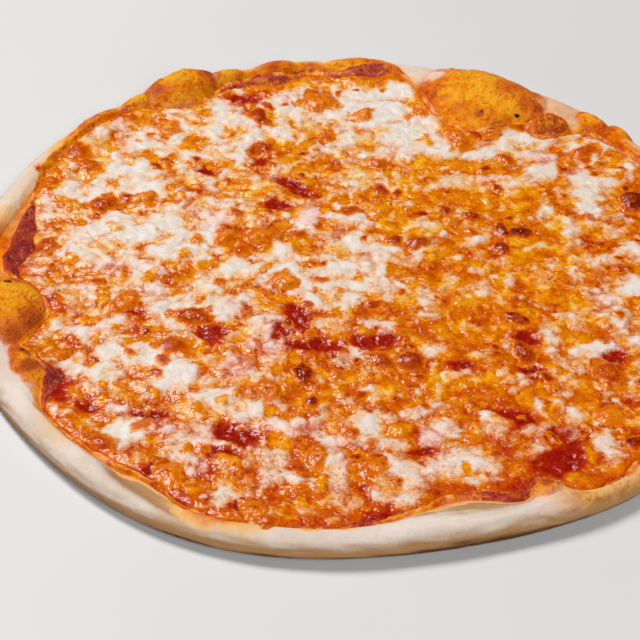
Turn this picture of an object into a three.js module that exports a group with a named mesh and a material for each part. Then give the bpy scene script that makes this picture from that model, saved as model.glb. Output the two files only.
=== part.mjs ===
// A thin, round tomato and cheese pizza lying flat: a baked dough base with a puffed, uneven rim, a layer
// of tomato sauce over it, and melted, blistered cheese on top. Millimetres, +Z up, with the origin at the
// centre of the flat underside.

import * as THREE from 'three';

// Driving dimensions.

const PIZZA_RADIUS = 151.8;      // mean radius of the outline
const BASE_THICKNESS = 3.0;      // dough under the sauce
const TOPPING_EDGE_HEIGHT = 5.4; // dough under the outer edge of the sauce
const RIM_HEIGHT = 9.2;          // crest of the rim
const RIM_WIDTH = 10.5;          // bare dough outside the sauce
const SHOULDER_WIDTH = 7.0;      // crest of the rim to its outermost line
const SHOULDER_CENTRE = 0.38;    // height of the outermost line, as a share of the rim's height
const BED_SLOPE_WIDTH = 13.0;    // where the dough climbs from the base to the sauce's edge
const SAUCE_THICKNESS = 0.9;
const CHEESE_THICKNESS = 1.9;
const CHEESE_EDGE_THICKNESS = 0.8;
const CHEESE_EDGE_ROUNDING = 3.5;
const SAUCE_MARGIN = 1.2;        // sauce that shows all round outside the cheese
const LAYER_GAP = 0.3;           // clearance between one layer and the next
const NOTCH_SHAPE = 2.6;         // how squarely the sauce's edge goes round a bubble

// Mesh sizes.

const CHEESE_RINGS = 35;            // rings on the cheese, ring k with six times k points
const SECTORS = 3 * CHEESE_RINGS;   // points round the dough, the sauce and the cheese's underside
const BED_RINGS = [0.5, 0.8, 0.92, 1.0];
const RIM_STEPS = 5;
const SHOULDER_ANGLES = [62, 32, 0, -42];

// Slow waves of the outline: lobes round the edge, size, and the angle of a crest.

const OUTLINE_WAVES = [
  { lobes: 1, size: 0.9, crest: 36 },
  { lobes: 2, size: 0.6, crest: -13 },
  { lobes: 4, size: 0.8, crest: -40 },
  { lobes: 5, size: 0.9, crest: 32 },
  { lobes: 6, size: 1.0, crest: 14 },
];

// Places round the rim where the bare dough is wider or narrower than RIM_WIDTH.

const RIM_SWELLS = [
  { at: 20, spread: 16, add: -2.0 },
  { at: 52, spread: 10, add: -2.5 },
  { at: 100, spread: 26, add: -3.0 },
  { at: 137, spread: 9, add: -1.5 },
  { at: 161, spread: 8, add: 3.0 },
  { at: 239, spread: 7, add: 3.5 },
  { at: 253, spread: 6, add: -1.5 },
  { at: 268, spread: 6, add: -2.0 },
  { at: 285, spread: 9, add: 7.5 },
  { at: 306, spread: 8, add: -4.5 },
  { at: 336, spread: 9, add: 3.0 },
];

// Puffed bubbles of dough. size is the half length along the rim and across it, and bare is the share
// of the bubble's depth that the sauce keeps clear of.

const BUBBLES = [
  { name: 'upper right', at: [60, 119], size: [30, 20], rise: 7.0, bare: 1, turn: -25 },
  { name: 'upper left', at: [-75, 123], size: [17, 14], rise: 8.5, bare: 0.9, turn: 30 },
  { name: 'left', at: [-129, -33], size: [21, 14], rise: 5.5, bare: 1, turn: 105 },
  { name: 'lower left', at: [-116, -63], size: [15, 8], rise: 3.5, bare: 0.6, turn: 118 },
  { name: 'back', at: [12, 139], size: [17, 11], rise: 4.0, bare: 0.35, turn: -4 },
  { name: 'back left', at: [-37, 138], size: [13, 9], rise: 2.8, bare: 0.3, turn: 14 },
  { name: 'crinkled', at: [90, 101], size: [10, 7.5], rise: 4.0, bare: 0.6, turn: -42 },
  { name: 'right small', at: [108, 99], size: [8, 7], rise: 2.5, bare: 0.5, turn: -48 },
  { name: 'right tall', at: [121, 92], size: [7, 7], rise: 4.5, bare: 0.8, turn: 0 },
  { name: 'front', at: [65, -121], size: [6.5, 5], rise: 2.8, bare: 0.9, turn: 25 },
  { name: 'far right', at: [141, 8], size: [18, 9], rise: 3.5, bare: 0.8, turn: 93 },
  { name: 'lower right', at: [118, -80], size: [14, 9], rise: 2.6, bare: 0.7, turn: 56 },
];

// Bays in the edge of the cheese where the sauce lies bare.

const SAUCE_BAYS = [
  { at: 304, spread: 4.2, depth: 21 },
  { at: 289, spread: 7, depth: 3.5 },
  { at: 270, spread: 4, depth: 3 },
  { at: 214, spread: 4.5, depth: 12 },
  { at: 173, spread: 6.5, depth: 9 },
  { at: 184, spread: 4, depth: 4 },
  { at: 106, spread: 9, depth: 7.5 },
  { at: 88, spread: 4, depth: 6 },
  { at: 12, spread: 5, depth: 5 },
  { at: 342, spread: 6, depth: 7 },
];

// The largest browned blisters of the cheese: place, radius and rise.

const BLISTERS = [
  { at: [50, 30], radius: 6, rise: 2.0 },
  { at: [66, 20], radius: 8, rise: 2.1 },
  { at: [61, 10], radius: 6, rise: 1.8 },
  { at: [24, 13], radius: 8, rise: 2.0 },
  { at: [48, 87], radius: 8, rise: 3.1 },
  { at: [63, 93], radius: 7, rise: 2.6 },
  { at: [68, 70], radius: 6, rise: 2.0 },
  { at: [94, 70], radius: 7, rise: 2.0 },
  { at: [104, 77], radius: 6, rise: 2.6 },
  { at: [118, 42], radius: 8, rise: 3.1 },
  { at: [7, 105], radius: 6, rise: 2.1 },
  { at: [13, 67], radius: 6, rise: 1.8 },
  { at: [-13, 115], radius: 9, rise: 3.4 },
  { at: [-40, 101], radius: 7, rise: 2.6 },
  { at: [-38, 78], radius: 7, rise: 2.0 },
  { at: [-80, 94], radius: 7, rise: 1.7 },
  { at: [-114, 67], radius: 8, rise: 2.1 },
  { at: [-101, 35], radius: 8, rise: 2.9 },
  { at: [-122, 7], radius: 7, rise: 2.9 },
  { at: [-48, 13], radius: 8, rise: 2.0 },
  { at: [-35, 15], radius: 6, rise: 2.0 },
  { at: [-24, -14], radius: 7, rise: 2.0 },
  { at: [-60, -35], radius: 7, rise: 2.1 },
  { at: [-65, -52], radius: 7, rise: 2.1 },
  { at: [-28, -75], radius: 8, rise: 2.0 },
  { at: [-86, -27], radius: 7, rise: 2.0 },
  { at: [20, -59], radius: 9, rise: 2.6 },
  { at: [63, -33], radius: 6, rise: 2.0 },
  { at: [64, -53], radius: 6, rise: 2.0 },
  { at: [94, -65], radius: 7, rise: 2.9 },
  { at: [92, -86], radius: 8, rise: 2.1 },
  { at: [-10, -107], radius: 8, rise: 1.8 },
  { at: [-88, -104], radius: 7, rise: 2.1 },
  { at: [-62, -117], radius: 7, rise: 2.3 },
  { at: [-33, -133], radius: 6, rise: 2.1 },
];

// Relief of the cheese and slow swells of the dough: cell size, height and seed of each layer.

const CHEESE_RELIEF = [
  { cell: 26, height: 0.9, seed: 11 },
  { cell: 11, height: 1.1, seed: 12 },
  { cell: 7.5, height: 0.7, seed: 13 },
];
const DOUGH_SWELL = { cell: 30, height: 0.7, seed: 21 };
const RIM_SWELL = { cell: 24, height: 1.6, seed: 22 };

// Small helpers.

const radians = (degrees) => THREE.MathUtils.degToRad(degrees);
const smooth = (t) => THREE.MathUtils.smoothstep(t, 0, 1);

// Signed difference of two directions in degrees, from -180 to 180.
function turnBetween(angle, at) {
  return THREE.MathUtils.euclideanModulo(angle - at + 180, 360) - 180;
}

// Direction of a place from the centre, in degrees from +X.
function directionOf(at) {
  return THREE.MathUtils.radToDeg(Math.atan2(at[1], at[0]));
}

// A number from 0 to 1 that belongs to one corner of a square lattice.
function latticeValue(i, j, seed) {
  let h = Math.imul(i, 374761393) ^ Math.imul(j, 668265263) ^ Math.imul(seed, 974634777);
  h = Math.imul(h ^ (h >>> 13), 1274126177);
  h = Math.imul(h ^ (h >>> 16), 1103515245);
  return ((h ^ (h >>> 15)) >>> 0) / 4294967296;
}

// Smooth noise from -0.5 to 0.5 with bumps about one cell across.
function noise(x, y, { cell, seed }) {
  const u = x / cell;
  const v = y / cell;
  const i = Math.floor(u);
  const j = Math.floor(v);
  const s = smooth(u - i);
  const t = smooth(v - j);
  const low = THREE.MathUtils.lerp(latticeValue(i, j, seed), latticeValue(i + 1, j, seed), s);
  const high = THREE.MathUtils.lerp(latticeValue(i, j + 1, seed), latticeValue(i + 1, j + 1, seed), s);
  return THREE.MathUtils.lerp(low, high, t) - 0.5;
}

// Height of a layer of noise.
function relief(x, y, layer) {
  return layer.height * noise(x, y, layer);
}

// Sum of smooth swells round the edge at one angle in degrees.
function swellAt(angle, swells, key) {
  let sum = 0;
  for (const swell of swells) {
    const offset = turnBetween(angle, swell.at) / swell.spread;
    sum += swell[key] * Math.exp(-offset * offset);
  }
  return sum;
}

// Outline, from the outside in.

function outerRadius(angle) {
  let radius = PIZZA_RADIUS;
  for (const { lobes, size, crest } of OUTLINE_WAVES) {
    radius += size * Math.cos(radians(lobes * (angle - crest)));
  }
  return radius;
}

function rimWidth(angle) {
  return RIM_WIDTH + swellAt(angle, RIM_SWELLS, 'add');
}

// Outer edge of the sauce: the inner line of the bare rim, drawn in round the foot of each bubble.
function sauceRadius(angle) {
  const edge = outerRadius(angle) - rimWidth(angle);
  let radius = edge;
  for (const { at, size, bare } of BUBBLES) {
    const reach = Math.hypot(at[0], at[1]);
    const depth = bare * Math.max(edge - (reach - size[1]), 0);
    const spread = THREE.MathUtils.radToDeg(size[0] / reach);
    const offset = turnBetween(angle, directionOf(at)) / spread;
    radius = Math.min(radius, edge - depth * Math.exp(-(Math.abs(offset) ** NOTCH_SHAPE)));
  }
  return radius;
}

function cheeseRadius(angle) {
  return sauceRadius(angle) - SAUCE_MARGIN - swellAt(angle, SAUCE_BAYS, 'depth');
}

// Heights.

// Rise of the puffed bubbles at a point.
function bubbleHeight(x, y) {
  let height = 0;
  for (const { at, size, rise, turn } of BUBBLES) {
    const c = Math.cos(radians(turn));
    const s = Math.sin(radians(turn));
    const along = ((x - at[0]) * c + (y - at[1]) * s) / size[0];
    const across = ((y - at[1]) * c - (x - at[0]) * s) / size[1];
    const inside = 1 - (along * along + across * across);
    if (inside > 0) {
      height = Math.max(height, rise * inside ** 0.6);
    }
  }
  return height;
}

// Top of the dough under the sauce: level in the middle, climbing to the sauce's edge.
function bedHeight(x, y, angle) {
  const edge = sauceRadius(angle);
  const climb = smooth((Math.hypot(x, y) - (edge - BED_SLOPE_WIDTH)) / BED_SLOPE_WIDTH);
  const middle = BASE_THICKNESS + relief(x, y, DOUGH_SWELL) * (1 - climb);
  return THREE.MathUtils.lerp(middle, TOPPING_EDGE_HEIGHT, climb);
}

function sauceTop(x, y, angle) {
  return bedHeight(x, y, angle) + LAYER_GAP + SAUCE_THICKNESS;
}

function blisterHeight(x, y) {
  let height = 0;
  for (const { at, radius, rise } of BLISTERS) {
    const inside = 1 - ((x - at[0]) ** 2 + (y - at[1]) ** 2) / (radius * radius);
    if (inside > 0) {
      height = Math.max(height, rise * inside);
    }
  }
  return height;
}

function cheeseTop(x, y, angle) {
  const fromEdge = cheeseRadius(angle) - Math.hypot(x, y);
  const body = 1 - Math.exp(-Math.max(fromEdge, 0) / CHEESE_EDGE_ROUNDING);
  const bumps = CHEESE_RELIEF.reduce((sum, layer) => sum + relief(x, y, layer), 0);
  const thickness = CHEESE_THICKNESS - CHEESE_EDGE_THICKNESS + bumps + blisterHeight(x, y);
  return sauceTop(x, y, angle) + LAYER_GAP + CHEESE_EDGE_THICKNESS + body * Math.max(thickness, 0.2);
}

// Meshing: a body is a stack of rings of points, from the middle of its top outwards, down its side
// and back in along its underside, closed by one point at each end.

// One ring with the given number of points, each worked out from its angle in degrees.
function ring(count, pointAt) {
  return Array.from({ length: count }, (_, k) => pointAt((360 * k) / count));
}

// A point at a distance from the centre, with its height worked out from its place.
function polar(radius, angle, heightAt) {
  const x = radius * Math.cos(radians(angle));
  const y = radius * Math.sin(radians(angle));
  return [x, y, heightAt(x, y, angle)];
}

// Triangles between two rings, walking round both. On a tie the ring further out moves first, so that
// a top face and the underside that lies on it are split alike.
function stitch(first, second, outward, faces) {
  let i = 0;
  let j = 0;
  while (i < first.count || j < second.count) {
    const lag = (j + 1) / second.count - (i + 1) / first.count;
    const moveSecond = i === first.count || (j < second.count && (lag < -1e-9 || (lag < 1e-9 && outward)));
    const a = first.start + (i % first.count);
    const b = second.start + (j % second.count);
    if (moveSecond) {
      faces.push(a, b, second.start + ((j + 1) % second.count));
      j += 1;
    } else {
      faces.push(a, b, first.start + ((i + 1) % first.count));
      i += 1;
    }
  }
}

// The body of all the rings. The first topRings of them lie on its top.
function ringBody(topPoint, rings, topRings, bottomPoint) {
  const points = [topPoint, ...rings.flat(), bottomPoint];
  const faces = [];
  const spans = [];
  let start = 1;
  for (const { length } of rings) {
    spans.push({ start, count: length });
    start += length;
  }
  const top = spans[0];
  for (let k = 0; k < top.count; k += 1) {
    faces.push(0, top.start + k, top.start + ((k + 1) % top.count));
  }
  for (let k = 0; k + 1 < spans.length; k += 1) {
    stitch(spans[k], spans[k + 1], k + 1 < topRings, faces);
  }
  const bottom = spans[spans.length - 1];
  for (let k = 0; k < bottom.count; k += 1) {
    faces.push(bottom.start + k, start, bottom.start + ((k + 1) % bottom.count));
  }
  const geometry = new THREE.BufferGeometry();
  geometry.setAttribute('position', new THREE.Float32BufferAttribute(points.flat(), 3));
  geometry.setIndex(faces);
  geometry.computeVertexNormals();
  return geometry;
}

// Rings that the dough, the sauce and the cheese share: even steps out to the cheese's edge, and one
// along the sauce's edge. The layers meet on the same points, so their gap is the same all over.
function cheeseShares(heightAt) {
  return BED_RINGS.map((share) => (
    ring(SECTORS, (angle) => polar(share * cheeseRadius(angle), angle, heightAt))
  ));
}

function sauceEdge(heightAt) {
  return ring(SECTORS, (angle) => polar(sauceRadius(angle), angle, heightAt));
}

// The dough: a flat base, its bed under the sauce, the rim and its rounded outer side.
function crustGeometry() {
  const bed = [...cheeseShares(bedHeight), sauceEdge(bedHeight)];

  const shoulderAt = (angle) => {
    const width = Math.min(SHOULDER_WIDTH, 0.75 * rimWidth(angle));
    const crest = outerRadius(angle) - width;
    const x = crest * Math.cos(radians(angle));
    const y = crest * Math.sin(radians(angle));
    return { width, crest, height: RIM_HEIGHT + relief(x, y, RIM_SWELL) };
  };

  const slope = [];
  for (let step = 1; step <= RIM_STEPS; step += 1) {
    const share = step / RIM_STEPS;
    slope.push(ring(SECTORS, (angle) => {
      const { crest, height } = shoulderAt(angle);
      const radius = THREE.MathUtils.lerp(sauceRadius(angle), crest, share);
      const climb = Math.sin((share * Math.PI) / 2);
      const level = THREE.MathUtils.lerp(TOPPING_EDGE_HEIGHT, height, climb);
      return polar(radius, angle, (x, y) => level + bubbleHeight(x, y));
    }));
  }

  const shoulder = SHOULDER_ANGLES.map((tilt) => ring(SECTORS, (angle) => {
    const { width, crest, height } = shoulderAt(angle);
    const middle = SHOULDER_CENTRE * height;
    const half = tilt > 0 ? height - middle : middle;
    const level = middle + half * Math.sin(radians(tilt));
    const puff = Math.max(0, Math.sin(radians(tilt)));
    const radius = crest + width * Math.cos(radians(tilt));
    return polar(radius, angle, (x, y) => level + puff * bubbleHeight(x, y));
  }));
  const foot = ring(SECTORS, (angle) => polar(shoulderAt(angle).crest, angle, () => 0));

  const rings = [...bed, ...slope, ...shoulder, foot];
  return ringBody([0, 0, bedHeight(0, 0, 0)], rings, rings.length, [0, 0, 0]);
}

// The sauce: a thin layer on the bed, out to the inner line of the rim.
function sauceGeometry() {
  const lower = (x, y, angle) => bedHeight(x, y, angle) + LAYER_GAP;
  const topRings = [...cheeseShares(sauceTop), sauceEdge(sauceTop)];
  const underRings = [sauceEdge(lower), ...cheeseShares(lower).reverse()];
  return ringBody(
    [0, 0, sauceTop(0, 0, 0)],
    [...topRings, ...underRings],
    topRings.length,
    [0, 0, lower(0, 0, 0)],
  );
}

// The melted cheese: its blistered top on a fine net of rings, its underside on the sauce.
function cheeseGeometry() {
  const topRings = [];
  for (let k = 1; k <= CHEESE_RINGS; k += 1) {
    const share = k / CHEESE_RINGS;
    topRings.push(ring(6 * k, (angle) => polar(share * cheeseRadius(angle), angle, cheeseTop)));
  }
  raiseBlisterPeaks(topRings);
  const lower = (x, y, angle) => sauceTop(x, y, angle) + LAYER_GAP;
  const underRings = cheeseShares(lower).reverse();
  return ringBody(
    [0, 0, cheeseTop(0, 0, 0)],
    [...topRings, ...underRings],
    topRings.length,
    [0, 0, lower(0, 0, 0)],
  );
}

// Moves the nearest point of the net onto each blister's middle, so that the dome keeps its full rise.
function raiseBlisterPeaks(rings) {
  const inner = rings.slice(0, -1).flat();
  for (const { at } of BLISTERS) {
    let nearest = inner[0];
    let least = Infinity;
    for (const point of inner) {
      const distance = Math.hypot(point[0] - at[0], point[1] - at[1]);
      if (distance < least) {
        least = distance;
        nearest = point;
      }
    }
    [nearest[0], nearest[1]] = at;
    nearest[2] = cheeseTop(at[0], at[1], directionOf(at));
  }
}

// Materials and assembly.

const doughMaterial = new THREE.MeshStandardMaterial({ color: 0xdcc09a, roughness: 0.85, metalness: 0 });
const sauceMaterial = new THREE.MeshStandardMaterial({ color: 0xb3220f, roughness: 0.35, metalness: 0 });
const cheeseMaterial = new THREE.MeshStandardMaterial({ color: 0xe9a55a, roughness: 0.4, metalness: 0 });

function piece(name, geometry, material) {
  const mesh = new THREE.Mesh(geometry, material);
  mesh.name = name;
  return mesh;
}

const pizza = new THREE.Group();
pizza.add(piece('crust', crustGeometry(), doughMaterial));
pizza.add(piece('tomato_sauce', sauceGeometry(), sauceMaterial));
pizza.add(piece('melted_cheese', cheeseGeometry(), cheeseMaterial));

export default pizza;
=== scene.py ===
"""A tomato and cheese pizza: dough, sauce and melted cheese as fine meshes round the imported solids."""
import math
from types import SimpleNamespace

import bpy
import numpy as np
from mathutils import Matrix, Vector


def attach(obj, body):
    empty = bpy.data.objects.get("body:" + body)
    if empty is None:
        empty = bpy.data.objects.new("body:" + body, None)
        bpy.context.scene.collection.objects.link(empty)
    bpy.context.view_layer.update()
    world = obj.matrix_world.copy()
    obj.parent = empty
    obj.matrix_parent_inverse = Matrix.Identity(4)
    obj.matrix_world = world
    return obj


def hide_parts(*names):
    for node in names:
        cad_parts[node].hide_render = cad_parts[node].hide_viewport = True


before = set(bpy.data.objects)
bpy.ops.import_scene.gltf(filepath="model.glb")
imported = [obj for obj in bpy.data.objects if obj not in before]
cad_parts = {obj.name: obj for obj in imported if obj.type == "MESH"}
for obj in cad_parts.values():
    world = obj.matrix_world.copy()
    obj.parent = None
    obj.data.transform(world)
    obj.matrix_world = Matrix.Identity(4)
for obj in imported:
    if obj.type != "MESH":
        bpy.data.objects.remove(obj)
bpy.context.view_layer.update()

MM = 0.001
TAU = 2 * math.pi


# ---- sizes in millimetres, as the solids have them, but the radius is 0.2 less, to keep the visual inside

PIZZA_RADIUS = 151.6
BASE_THICKNESS = 3.0
TOPPING_EDGE_HEIGHT = 5.4
RIM_HEIGHT = 9.2
RIM_WIDTH = 10.5
SHOULDER_WIDTH = 7.0
SHOULDER_CENTRE = 0.38
BED_SLOPE_WIDTH = 13.0
SAUCE_THICKNESS = 0.9
SAUCE_MARGIN = 1.2
LAYER_GAP = 0.3
NOTCH_SHAPE = 2.6

# lobes round the edge, size, angle of a crest
OUTLINE_WAVES = [(1, 0.9, 36), (2, 0.6, -13), (4, 0.8, -40), (5, 0.9, 32), (6, 1.0, 14)]

# angle, spread, added width of the bare rim
RIM_SWELLS = [
    (20, 16, -2.0), (52, 10, -2.5), (100, 26, -3.0), (137, 9, -1.5), (161, 8, 3.0),
    (239, 7, 3.5), (253, 6, -1.5), (268, 6, -2.0), (285, 9, 7.5), (306, 8, -4.5), (336, 9, 3.0),
]

BUBBLE_FULLNESS = 0.94

# place, half length along and across, turn, rise, share that the sauce keeps clear of
BUBBLES = {
    "upper right": ((59, 117), (30, 23), -29, 7.4, 1.0),
    "upper right foot": ((65, 95), (13, 8), -20, 2.6, 0.0),
    "upper left": ((-77, 122), (18, 15), 30, 8.0, 0.9),
    "upper left flank": ((-95, 109), (11, 6), 62, 2.4, 0.4),
    "left": ((-129, -33), (21, 14), 105, 5.5, 1.0),
    "lower left": ((-116, -63), (15, 8), 118, 3.5, 0.6),
    "back": ((6, 139), (19, 11), -2, 3.8, 0.35),
    "back left": ((-34, 138), (11, 9), 12, 3.0, 0.3),
    "back far left": ((-56, 132), (9, 8), 20, 2.4, 0.3),
    "crinkled": ((88, 96), (10.5, 7.5), -30, 4.6, 1.0),
    "right small": ((108, 99), (8, 7), -48, 2.5, 0.5),
    "right tall": ((121, 92), (7, 7), 0, 4.5, 0.8),
    "front": ((65, -121), (6.5, 5), 25, 2.8, 0.9),
    "far right": ((141, 8), (18, 9), 93, 3.5, 0.8),
    "lower right": ((118, -80), (14, 9), 56, 2.6, 0.7),
}

# folds along the rim: angle from and to, radius there, half width, rise
RIM_CREASES = [
    (234, 248.5, 140.5, 146, 3.4, -3), (276, 298, 143.4, 144.6, 1.6, 0.7), (279, 296, 135, 139, 4, -0.9),
    (251, 264, 149.6, 149.8, 0.5, 0.22), (253, 266, 148.2, 148.6, 0.45, 0.22),
    (249, 262, 147, 147.4, 0.5, 0.2), (220, 232, 147, 147.5, 2, -0.5), (306, 322, 146, 147, 1.8, 0.5),
    (60, 75, 147.5, 148.5, 2, -0.6),
]

# angle, spread, depth of the bays where the sauce lies bare
SAUCE_BAYS = [
    (289, 7, 2), (270, 4, 1.5), (213, 2.8, 8), (174, 7.5, 12), (179, 3.5, 4.5),
    (184, 4, 2), (106, 10, 4), (88, 5, 2.5), (12, 5, 3), (342, 6, 3),
]

# the largest browned blisters: place, radius, rise, and how dark each one is
BLISTERS = [
    (50, 30, 4.5, 1.6, 0.85), (62, 21, 4.2, 1.7, 0.95), (70, 20, 4.5, 1.7, 1), (61, 10, 4.2, 1.5, 0.9),
    (27, 12, 5, 1.6, 0.85), (18, 14, 3.6, 1.3, 0.8), (48, 87, 6.5, 2.2, 0.6), (63, 93, 5.5, 1.9, 0.6),
    (68, 71, 4.2, 1.5, 0.7), (94, 71, 5, 1.5, 0.6), (103, 79, 5.5, 2, 0.75), (118, 42, 7, 2.5, 1),
    (7, 105, 5.2, 1.7, 0.55), (13, 67, 4.5, 1.5, 0.65), (13, 48, 4, 1.3, 0.8), (0, 33, 4.2, 1.3, 0.75),
    (-13, 115, 8.5, 2.6, 0.5), (-40, 102, 5.6, 2, 0.9), (-38, 78, 6, 1.7, 0.85), (-80, 94, 6, 1.3, 0.5),
    (-117, 72, 6.5, 1.6, 0.7), (-111, 63, 5, 1.4, 0.65), (-101, 35, 6.2, 2.2, 0.8), (-85, 40, 5.5, 1.3, 0.55),
    (-122, 7, 5.8, 2.2, 0.7), (-50, 14, 5.2, 1.6, 0.6), (-35, 16, 6, 1.7, 0.6), (-43, 6, 4.2, 1.3, 0.65),
    (-26, -13, 6, 1.7, 0.5), (-60, -35, 6.5, 1.8, 0.8), (-65, -52, 6, 1.7, 0.75), (-17, -66, 5.5, 1.6, 1),
    (-29, -75, 6.2, 1.7, 0.6), (-86, -27, 6.5, 1.6, 0.6), (-107, -57, 4, 1.2, 0.55),
    (22, -59, 6.5, 1.9, 0.85), (11, -58, 5, 1.6, 0.8), (63, -33, 4.8, 1.6, 0.95), (64, -53, 5.5, 1.6, 0.85),
    (94, -64, 6.3, 2.2, 0.75), (92, -85, 6, 1.6, 0.5), (98, -99, 4.2, 1.6, 0.95), (-12, -107, 5.2, 1.4, 0.6),
    (8, -112, 5, 1.2, 0.6), (-88, -104, 6.5, 1.8, 0.75), (-62, -117, 6.5, 1.8, 0.45),
    (-33, -132, 5, 1.6, 0.5), (-28, -139, 4, 1.4, 0.7),
]


# ---- how finely the pieces are built

RIM_SECTORS = 960
RIM_STEPS = 36
RIM_TILTS = np.linspace(85, -90, 30)
SAUCE_STEPS = 36
CHEESE_RINGS = 172

# rings where little shows, as shares of the way out to the edge or the crest
BED_RINGS = (0.3, 0.6, 0.7, 0.76, 0.81, 0.85, 0.88, 0.9, 0.92, 0.94, 0.96, 0.98, 1.0)
UNDERSIDE_RINGS = (0.97, 0.92, 0.84, 0.74, 0.62, 0.5, 0.38, 0.25, 0.12)
SAUCE_HIDDEN_RINGS = (0.2, 0.4, 0.6, 0.75, 0.85, 0.92, 0.97)
SAUCE_UNDER_RINGS = (0.997, 0.97, 0.94, 0.91, 0.88, 0.85, 0.8, 0.7, 0.5)
CHEESE_UNDER_RINGS = (1.0, 0.985, 0.96, 0.9, 0.5)

# the radius at which noise along the rim is read
NOISE_RADIUS = 140

# how the layers lie in each other
SAUCE_SINK = 0.7
SAUCE_OVERLAP = 5.0
CHEESE_SINK = 0.12
CHEESE_HEIGHT = 2.2
CHEESE_LEAST = 0.6


# ---- places on the dough

# where the rim's inner slope is stained by oil and baked golden: angle, spread, amount
BAKED_STRETCHES = [
    (318, 13, 0.8), (90, 50, 0.95), (40, 25, 0.8), (140, 14, 0.8), (178, 8, 1), (197, 8, 0.5), (224, 5, 0.4),
    (252, 6, 1.0),
]
# where the whole rim is golden, down to its foot: angle, spread, amount
GOLDEN_STRETCHES = [(306, 9, 1), (322, 12, 1), (350, 30, 0.6), (40, 40, 0.6)]
# where the side of the rim is browner and darker, partly baking and partly painted shade: angle, spread,
# amount
SIDE_BROWNING_AND_SHADE = [(270, 40, 0.25), (287, 14, 0.62), (246, 10, 0.2)]
RIM_SHADE_HEIGHT = 9.0
# spots that are blackened, browned and, on the bubbles, pale with flour: place, radius, amount
CHAR_SPOTS = [
    (60, 136, 2.2, 1), (75, 101, 1.7, 1), (59, 102, 1.2, 1), (-131, -22, 2.2, 1), (-120, -57, 2.2, 1),
    (-132, 57, 1.3, 1), (-116.5, -56, 1.7, 1), (85, 96, 1, 1), (124, 95, 2.2, 1), (64, 112, 0.8, 1),
    (68, 111, 0.8, 1), (-130, 58, 0.9, 1),
]
BROWN_SPOTS = [
    (84, 107, 5, 0.8), (32, 124, 4, 1), (122, 96, 6, 1), (-77, 134, 10, 1), (-91, 125, 8, 1),
    (-64, 130, 7, 0.9), (-118, -56, 7, 1), (-116, -67, 6, 1), (-117, -42, 10, 0.9), (-124, -50, 7, 0.8),
    (-112, -31, 6, 0.9), (-110, -40, 5, 1), (-128, -18, 5, 0.8), (58, 101, 3, 1), (60, 136, 6, 0.9),
    (-131, 57, 3.5, 1), (65, -121, 3, 1), (72, 117, 12, 0.55), (79, 108, 8, 0.6), (66, 94, 7, 0.7),
    (-34, 133, 6, 0.8), (-52, 126, 7, 0.8), (-14, 131, 6, 0.8), (10, 132, 8, 0.8), (26, 129, 5, 0.8),
]
FLOURED_SPOTS = [(40, 132, 5.5, 1), (-121, -10, 4, 1), (-62, 130, 3, 1)]
# bubbles that are browner on their outward half, and bubbles that are less golden than the others
OUTWARD_BROWN = ("upper right", "upper left", "left")
BUBBLE_GLOW = {"front": 0.75, "far right": 0.8, "lower right": 0.6, "back": 0.9, "back left": 0.8}


# ---- places on the sauce

# where the sauce ends further out or in: angle, spread, length
SAUCE_TUCKS = [(175, 9, -5.3), (214, 6, -2.2), (141, 13, 4), (157, 5, 2), (79, 4, 3), (85, 5, 3.2)]
# where the sauce stays red up to the rim, and where it is baked amber: angle, spread, amount
RED_STRETCHES = [
    (296, 5, 1), (289, 4, 0.6), (272, 3, 0.9), (250, 3, 0.6), (241, 3, 0.7), (214, 6, 1), (176, 8, 1),
    (106, 11, 0.8), (86, 7, 1), (12, 5, 0.8), (342, 6, 0.8),
]
AMBER_STRETCHES = [(104, 20, 1.0)]


# ---- places on the cheese, with patches and zones as place, half length, half width and, if any, turn

# where the cheese runs further up the rim: angle, spread, length
CHEESE_REACH = [
    (141, 13, 4.5), (157, 5, 2.5), (79, 4, 4), (120, 6, 2), (258.9, 2.2, 6), (253.2, 2.2, 3.5), (247, 2.5, 2),
]
# where the cheese's edge is thin and amber: angle, spread, amount
AMBER_EDGES = [
    (141, 14, 0.9), (157, 5, 0.7), (86, 9, 0.9), (104, 7, 0.7), (257, 7, 0.6), (300, 8, 0.7), (225, 8, 0.3),
]
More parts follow.
